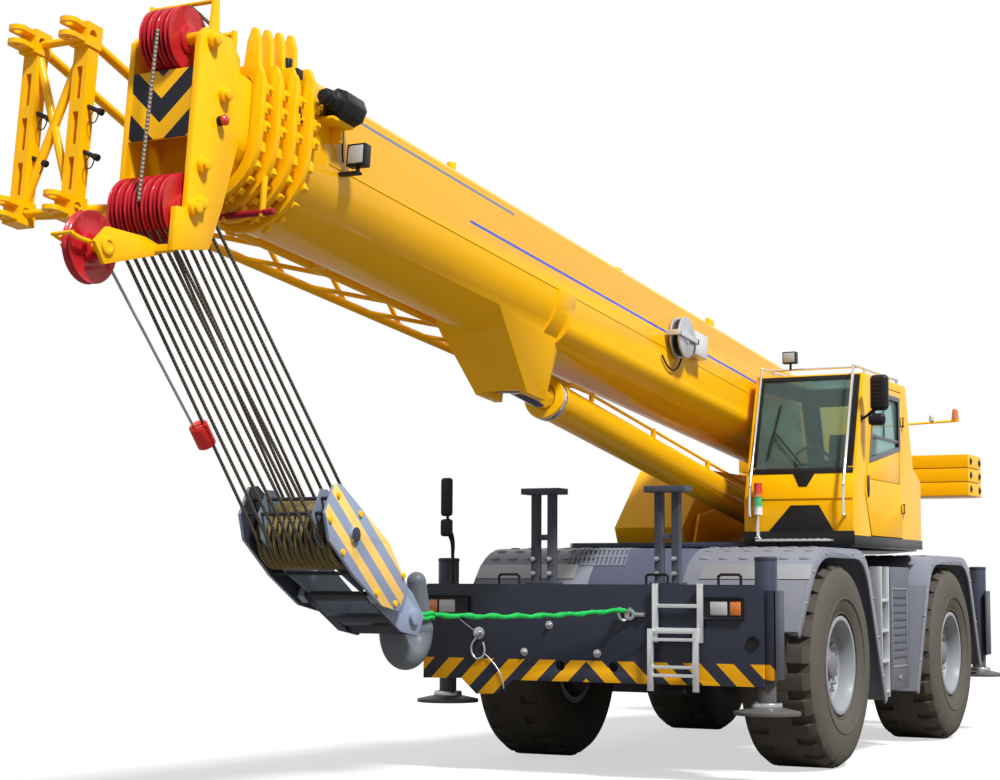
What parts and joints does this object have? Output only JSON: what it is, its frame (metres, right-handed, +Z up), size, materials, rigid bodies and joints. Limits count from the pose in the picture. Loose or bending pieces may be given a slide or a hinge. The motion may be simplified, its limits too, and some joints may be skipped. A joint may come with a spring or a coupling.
{
  "type": "rough terrain crane",
  "caption": "Rough terrain crane with a stowed telescopic boom, lashed hook block, slewing cab and counterweight, steered wheels and sliding outriggers.",
  "frame": {"origin": "on the ground under the slewing axis", "axes": "+X forward along the carrier and the stowed boom, +Y to the crane's left, +Z up"},
  "size_m": [15.562, 3.735, 5.189],
  "materials": {
    "amber_paint": "gloss",
    "slate_paint": "satin",
    "grey_paint": "satin",
    "dark_steel": "satin",
    "block_grey": "satin",
    "engine_grey": "satin",
    "light_alloy": "satin",
    "lamp_glass": "gloss",
    "tyre_rubber": "matt",
    "white_paint": "satin",
    "cab_glass": "gloss",
    "black_plastic": "matt",
    "chrome": "polished",
    "red_paint": "satin",
    "counterweight_paint": "gloss",
    "wire_rope": "satin",
    "forged_steel": "satin",
    "sling_web": "matt",
    "orange_lamp": "gloss"
  },
  "bodies": {
    "carrier": {"carrier_frame": "slate_paint", "bumper": "slate_paint", "deck_covers": "slate_paint", "engine": "engine_grey", "fenders": "grey_paint", "side_lockers": "grey_paint", "ladders": "light_alloy", "boom_rests": "slate_paint", "carrier_lamps": "lamp_glass", "carrier_mirror": "black_plastic", "front_axle": "dark_steel", "rear_axle": "dark_steel"},
    "superstructure": {"turntable": "amber_paint", "counterweight": "counterweight_paint", "winches": "dark_steel", "cab_shell": "amber_paint", "cab_glass": "cab_glass", "cab_interior": "black_plastic", "cab_rails": "chrome", "cab_mirror": "black_plastic", "side_housing": "amber_paint", "signal_lamps": "orange_lamp"},
    "door": {"cab_door": "amber_paint", "door_glass": "cab_glass"},
    "boom": {"boom_base": "amber_paint", "jib": "amber_paint", "cable_reel": "light_alloy"},
    "section_2": {"boom_section_2": "amber_paint"},
    "section_3": {"boom_section_3": "amber_paint"},
    "section_4": {"boom_section_4": "amber_paint"},
    "section_5": {"boom_section_5": "amber_paint", "head_sheaves": "red_paint"},
    "falls": {"rope_falls": "wire_rope", "limit_weight": "red_paint"},
    "hook": {"hook_block": "block_grey", "load_hook": "forged_steel", "sling": "sling_web"},
    "luff_barrel": {"luff_barrel": "amber_paint"},
    "luff_rod": {"luff_rod": "chrome"},
    "knuckle_front_left": {"knuckle_front_left": "dark_steel"},
    "wheel_front_left": {"tyre_front_left": "tyre_rubber", "rim_front_left": "white_paint"},
    "outrigger_front_left": {"beam_front_left": "slate_paint"},
    "jack_front_left": {"jack_front_left": "dark_steel"},
    "knuckle_front_right": {"knuckle_front_right": "dark_steel"},
    "wheel_front_right": {"tyre_front_right": "tyre_rubber", "rim_front_right": "white_paint"},
    "outrigger_front_right": {"beam_front_right": "slate_paint"},
    "jack_front_right": {"jack_front_right": "dark_steel"},
    "knuckle_rear_left": {"knuckle_rear_left": "dark_steel"},
    "wheel_rear_left": {"tyre_rear_left": "tyre_rubber", "rim_rear_left": "white_paint"},
    "outrigger_rear_left": {"beam_rear_left": "slate_paint"},
    "jack_rear_left": {"jack_rear_left": "dark_steel"},
    "knuckle_rear_right": {"knuckle_rear_right": "dark_steel"},
    "wheel_rear_right": {"tyre_rear_right": "tyre_rubber", "rim_rear_right": "white_paint"},
    "outrigger_rear_right": {"beam_rear_right": "slate_paint"},
    "jack_rear_right": {"jack_rear_right": "dark_steel"}
  },
  "joints": [
    {"name": "slew", "type": "hinge", "parent": "carrier", "child": "superstructure", "pos_m": [0, 0, 0], "axis": [0, 0, 1], "continuous": true},
    {"name": "door_hinge", "type": "hinge", "parent": "superstructure", "child": "door", "pos_m": [-0.425, 1.6, 2.9], "axis": [0, 0, 1], "range_deg": [0, 85]},
    {"name": "luff", "type": "hinge", "parent": "superstructure", "child": "boom", "pos_m": [-2.39766, 0, 3.10164], "axis": [0, -1, 0], "range_deg": [-5, 74.4], "deforming": ["sling"]},
    {"name": "telescope_2", "type": "slide", "parent": "boom", "child": "section_2", "axis": [0.9953, 0, 0.0967], "range_m": [0, 8]},
    {"name": "telescope_3", "type": "slide", "parent": "section_2", "child": "section_3", "axis": [0.9953, 0, 0.0967], "range_m": [0, 8]},
    {"name": "telescope_4", "type": "slide", "parent": "section_3", "child": "section_4", "axis": [0.9953, 0, 0.0967], "range_m": [0, 8]},
    {"name": "telescope_5", "type": "slide", "parent": "section_4", "child": "section_5", "axis": [0.9953, 0, 0.0967], "range_m": [0, 8]},
    {"name": "falls_swing", "type": "hinge", "parent": "section_5", "child": "falls", "pos_m": [10.13897, 0, 3.84761], "axis": [0, -1, 0], "range_deg": [-31.9, 2.33]},
    {"name": "hook_swing", "type": "hinge", "parent": "falls", "child": "hook", "pos_m": [8.40288, 0, 1.96623], "axis": [0, -1, 0], "range_deg": [-1.36, 17.5]},
    {"name": "luff_barrel_swing", "type": "hinge", "parent": "superstructure", "child": "luff_barrel", "pos_m": [-1.2, 0, 2.3], "axis": [0, -1, 0], "range_deg": [-5.34, 76.75]},
    {"name": "luff_rod_slide", "type": "slide", "parent": "luff_barrel", "child": "luff_rod", "axis": [0.9888, 0, 0.1492], "range_m": [-0.1256, 1.7298]},
    {"name": "steer_front_left", "type": "hinge", "parent": "carrier", "child": "knuckle_front_left", "pos_m": [1.98, 0.74, 0.93], "axis": [0, 0, 1], "range_deg": [-20, 20]},
    {"name": "spin_front_left", "type": "hinge", "parent": "knuckle_front_left", "child": "wheel_front_left", "pos_m": [1.98, 1.32, 0.93], "axis": [0, 1, 0], "continuous": true},
    {"name": "outrigger_slide_front_left", "type": "slide", "parent": "carrier", "child": "outrigger_front_left", "axis": [0, 1, 0], "range_m": [0, 2.1]},
    {"name": "jack_slide_front_left", "type": "slide", "parent": "outrigger_front_left", "child": "jack_front_left", "axis": [0, 0, -1], "range_m": [0, 0.56]},
    {"name": "steer_front_right", "type": "hinge", "parent": "carrier", "child": "knuckle_front_right", "pos_m": [1.98, -0.74, 0.93], "axis": [0, 0, 1], "range_deg": [-20, 20]},
    {"name": "spin_front_right", "type": "hinge", "parent": "knuckle_front_right", "child": "wheel_front_right", "pos_m": [1.98, -1.32, 0.93], "axis": [0, 1, 0], "continuous": true},
    {"name": "outrigger_slide_front_right", "type": "slide", "parent": "carrier", "child": "outrigger_front_right", "axis": [0, -1, 0], "range_m": [0, 2.1]},
    {"name": "jack_slide_front_right", "type": "slide", "parent": "outrigger_front_right", "child": "jack_front_right", "axis": [0, 0, -1], "range_m": [0, 0.56]},
    {"name": "steer_rear_left", "type": "hinge", "parent": "carrier", "child": "knuckle_rear_left", "pos_m": [-2.04, 0.74, 0.93], "axis": [0, 0, 1], "range_deg": [-20, 20]},
    {"name": "spin_rear_left", "type": "hinge", "parent": "knuckle_rear_left", "child": "wheel_rear_left", "pos_m": [-2.04, 1.32, 0.93], "axis": [0, 1, 0], "continuous": true},
    {"name": "outrigger_slide_rear_left", "type": "slide", "parent": "carrier", "child": "outrigger_rear_left", "axis": [0, 1, 0], "range_m": [0, 2.1]},
    {"name": "jack_slide_rear_left", "type": "slide", "parent": "outrigger_rear_left", "child": "jack_rear_left", "axis": [0, 0, -1], "range_m": [0, 0.56]},
    {"name": "steer_rear_right", "type": "hinge", "parent": "carrier", "child": "knuckle_rear_right", "pos_m": [-2.04, -0.74, 0.93], "axis": [0, 0, 1], "range_deg": [-20, 20]},
    {"name": "spin_rear_right", "type": "hinge", "parent": "knuckle_rear_right", "child": "wheel_rear_right", "pos_m": [-2.04, -1.32, 0.93], "axis": [0, 1, 0], "continuous": true},
    {"name": "outrigger_slide_rear_right", "type": "slide", "parent": "carrier", "child": "outrigger_rear_right", "axis": [0, -1, 0], "range_m": [0, 2.1]},
    {"name": "jack_slide_rear_right", "type": "slide", "parent": "outrigger_rear_right", "child": "jack_rear_right", "axis": [0, 0, -1], "range_m": [0, 0.56]}
  ],
  "couplings": [
    {"joint": "telescope_3", "follows": "telescope_2", "ratio": 1},
    {"joint": "telescope_4", "follows": "telescope_2", "ratio": 1},
    {"joint": "telescope_5", "follows": "telescope_2", "ratio": 1},
    {"joint": "falls_swing", "follows": "luff", "ratio": -0.4261},
    {"joint": "hook_swing", "follows": "luff", "ratio": 0.2325},
    {"joint": "luff_barrel_swing", "follows": "luff", "ratio": 1.0289},
    {"joint": "luff_rod_slide", "follows": "luff", "m_per_rad": 1.3244},
    {"joint": "steer_front_right", "follows": "steer_front_left", "ratio": 1},
    {"joint": "steer_rear_right", "follows": "steer_rear_left", "ratio": 1}
  ]
}
